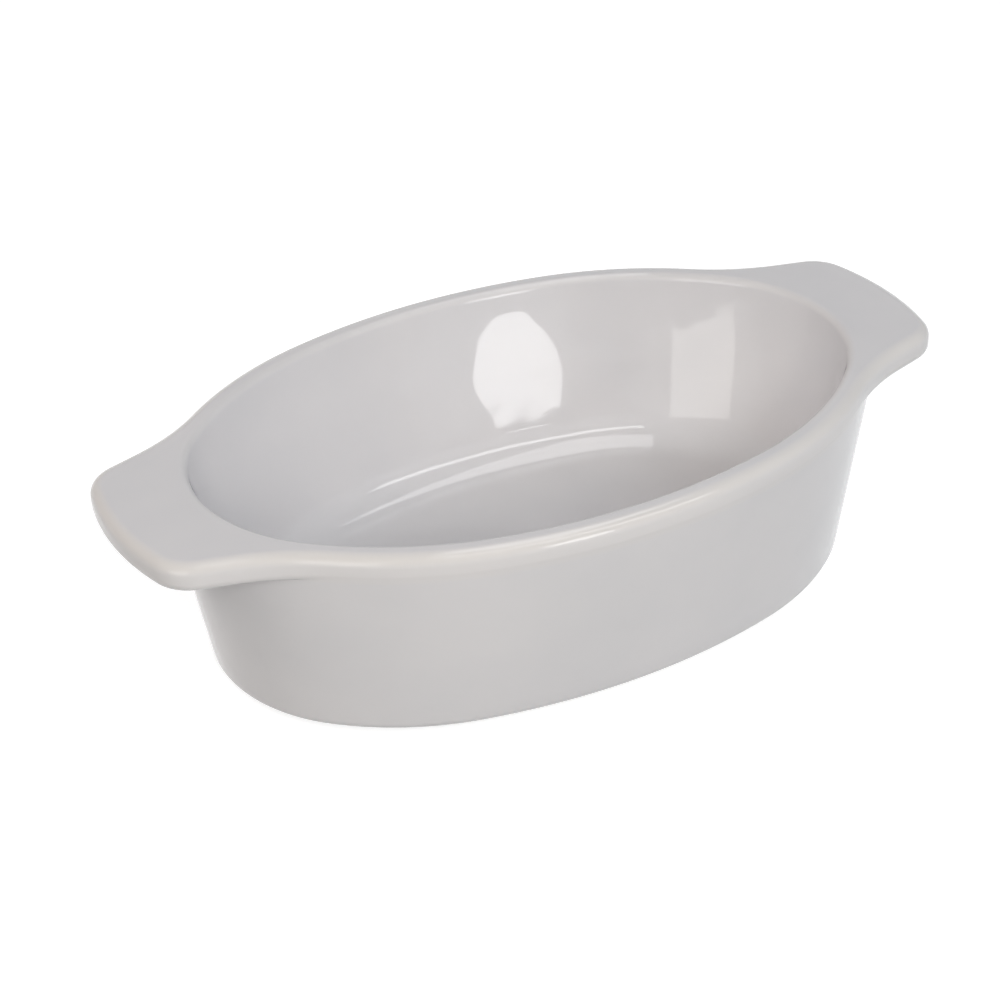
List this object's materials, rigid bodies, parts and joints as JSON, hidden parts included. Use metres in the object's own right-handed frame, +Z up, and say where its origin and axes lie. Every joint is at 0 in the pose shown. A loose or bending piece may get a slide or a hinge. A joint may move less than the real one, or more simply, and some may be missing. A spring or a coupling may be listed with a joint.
{
  "type": "gratin dish",
  "caption": "Oval glazed ceramic baking dish with sloping walls, a rounded lip, a wing handle at each end level with the lip, and a low unglazed foot ring.",
  "frame": {"origin": "centre of the footprint, on the plane the foot ring stands on", "axes": "+X along the dish towards the right handle, +Y across the dish, +Z up out of the open top"},
  "size_m": [0.21, 0.1178, 0.052],
  "materials": {
    "glazed_body": "gloss white glaze",
    "glazed_left_wing": "gloss white glaze",
    "glazed_right_wing": "gloss white glaze",
    "bare_foot": "fine matt unglazed body"
  },
  "bodies": {
    "root": {"bowl": "glazed_body", "left_handle": "glazed_left_wing", "right_handle": "glazed_right_wing", "foot_ring": "bare_foot"}
  },
  "joints": []
}
